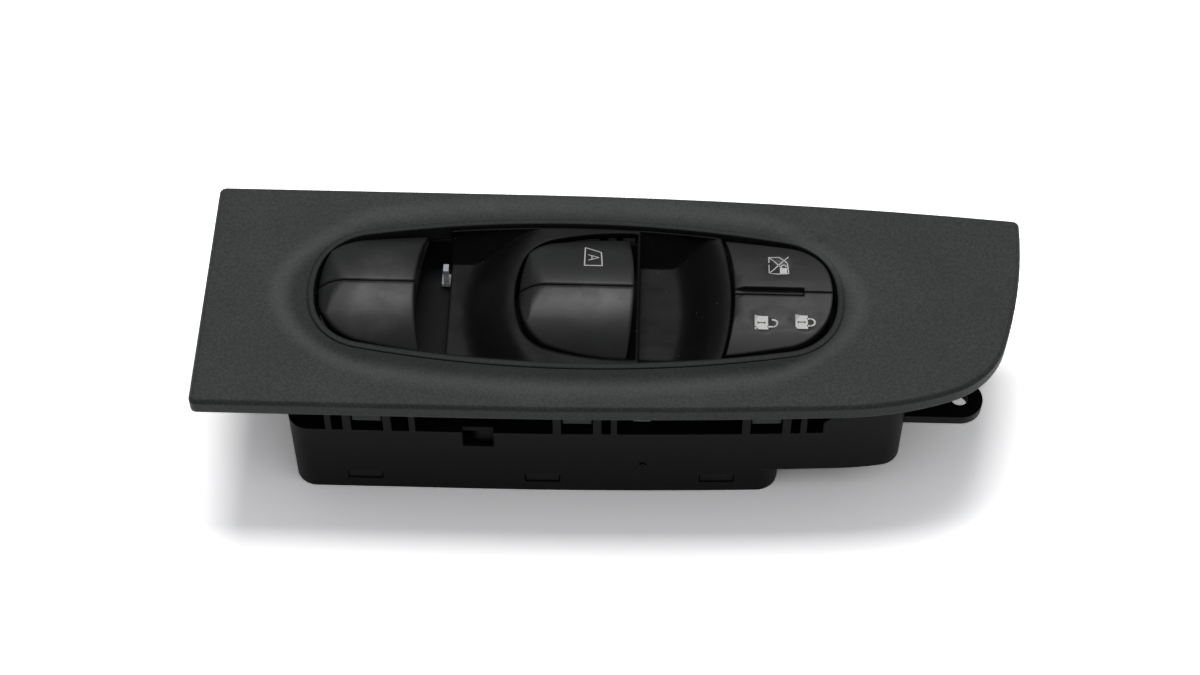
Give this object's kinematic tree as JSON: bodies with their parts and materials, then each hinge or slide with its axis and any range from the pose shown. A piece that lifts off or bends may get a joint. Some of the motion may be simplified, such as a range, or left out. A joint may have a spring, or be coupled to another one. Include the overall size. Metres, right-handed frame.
{
  "type": "driver's power window switch",
  "caption": "Armrest switch panel with rocking window keys, a window lock button and a door lock rocker over a snap-fit case.",
  "frame": {"origin": "middle of the bounding box in X and Y, on the plane that the case rests on", "axes": "+X towards the rounded nose, the front of the car; +Z out of the bezel's face; +Y to the far edge"},
  "size_m": [0.24, 0.079, 0.0482],
  "materials": {
    "bezel_grain": "fine leather-like grain, matt",
    "gloss_black": "polished black",
    "case_black": "as moulded, low sheen",
    "cover_black": "as moulded, low sheen",
    "board_green": "solder resist over glass cloth",
    "screw_steel": "zinc plated",
    "header_grey": "as moulded",
    "pin_tin": "tin plated",
    "key_satin": "satin, polished by use",
    "lamp_white": "moulded lamp",
    "chip_black": "moulded",
    "relay_black": "moulded",
    "clip_steel": "tempered spring steel",
    "carrier_natural": "natural moulded",
    "slider_white": "natural moulded",
    "contact_copper": "bare copper alloy",
    "spring_wire": "drawn wire",
    "guide_clear": "clear moulded"
  },
  "bodies": {
    "root": {"trim_bezel": "bezel_grain", "scoop_panel": "gloss_black", "switch_housing": "case_black", "mounting_ear": "case_black", "lower_cover": "cover_black", "circuit_board": "board_green", "board_screws": "screw_steel", "connector_header": "header_grey", "connector_pins": "pin_tin", "indicator_leds": "lamp_white", "control_chip": "chip_black", "window_relay": "relay_black", "spring_clips": "clip_steel", "rear_contact_carrier": "carrier_natural", "front_contact_carrier": "carrier_natural", "lock_contact_carrier": "carrier_natural", "lock_switch_case": "relay_black", "lock_switch_spring": "spring_wire", "rear_light_guide": "guide_clear", "front_light_guide": "guide_clear", "scoop_light_guide": "guide_clear"},
    "rear_left_key": {"rear_left_window_key": "key_satin"},
    "rear_left_slide": {"rear_left_slider": "slider_white", "rear_left_contact": "contact_copper"},
    "rear_right_key": {"rear_right_window_key": "key_satin"},
    "rear_right_slide": {"rear_right_slider": "slider_white", "rear_right_contact": "contact_copper"},
    "driver_key": {"driver_window_key": "key_satin"},
    "driver_slide": {"driver_slider": "slider_white", "driver_contact": "contact_copper"},
    "passenger_key": {"passenger_window_key": "key_satin"},
    "passenger_slide": {"passenger_slider": "slider_white", "passenger_contact": "contact_copper"},
    "door_lock_key": {"door_lock_rocker": "key_satin"},
    "door_lock_slide": {"door_lock_slider": "slider_white", "door_lock_contact": "contact_copper"},
    "window_lock": {"window_lock_button": "key_satin", "lock_switch_plunger": "carrier_natural"}
  },
  "joints": [
    {"name": "rear_left_rock", "type": "hinge", "parent": "root", "child": "rear_left_key", "pos_m": [-0.071, 0.0145, 0.0396], "axis": [0, 1, 0], "range_deg": [-7, 7], "stiffness_Nm_per_rad": 0.6},
    {"name": "rear_left_slide", "type": "slide", "parent": "root", "child": "rear_left_slide", "axis": [1, 0, 0], "range_m": [-0.0029, 0.0029]},
    {"name": "rear_right_rock", "type": "hinge", "parent": "root", "child": "rear_right_key", "pos_m": [-0.071, -0.0075, 0.0396], "axis": [0, 1, 0], "range_deg": [-7, 7], "stiffness_Nm_per_rad": 0.6},
    {"name": "rear_right_slide", "type": "slide", "parent": "root", "child": "rear_right_slide", "axis": [1, 0, 0], "range_m": [-0.0029, 0.0029]},
    {"name": "driver_rock", "type": "hinge", "parent": "root", "child": "driver_key", "pos_m": [-0.011, 0.0145, 0.0396], "axis": [0, 1, 0], "range_deg": [-7, 7], "stiffness_Nm_per_rad": 0.6},
    {"name": "driver_slide", "type": "slide", "parent": "root", "child": "driver_slide", "axis": [1, 0, 0], "range_m": [-0.0029, 0.0029]},
    {"name": "passenger_rock", "type": "hinge", "parent": "root", "child": "passenger_key", "pos_m": [-0.011, -0.0075, 0.0396], "axis": [0, 1, 0], "range_deg": [-7, 7], "stiffness_Nm_per_rad": 0.6},
    {"name": "passenger_slide", "type": "slide", "parent": "root", "child": "passenger_slide", "axis": [1, 0, 0], "range_m": [-0.0029, 0.0029]},
    {"name": "door_lock_rock", "type": "hinge", "parent": "root", "child": "door_lock_key", "pos_m": [0.049, -0.006, 0.0396], "axis": [0, 1, 0], "range_deg": [-4.5, 4.5], "stiffness_Nm_per_rad": 0.6},
    {"name": "door_lock_slide", "type": "slide", "parent": "root", "child": "door_lock_slide", "axis": [1, 0, 0], "range_m": [-0.0024, 0.0024]},
    {"name": "window_lock_press", "type": "slide", "parent": "root", "child": "window_lock", "axis": [0, 0, -1], "range_m": [0, 0.002], "stiffness_N_per_m": 1500, "deforming": ["lock_switch_spring"]}
  ],
  "couplings": [
    {"joint": "rear_left_slide", "follows": "rear_left_rock", "m_per_rad": -0.0209},
    {"joint": "rear_right_slide", "follows": "rear_right_rock", "m_per_rad": -0.0209},
    {"joint": "driver_slide", "follows": "driver_rock", "m_per_rad": -0.0209},
    {"joint": "passenger_slide", "follows": "passenger_rock", "m_per_rad": -0.0209},
    {"joint": "door_lock_slide", "follows": "door_lock_rock", "m_per_rad": -0.0209}
  ]
}
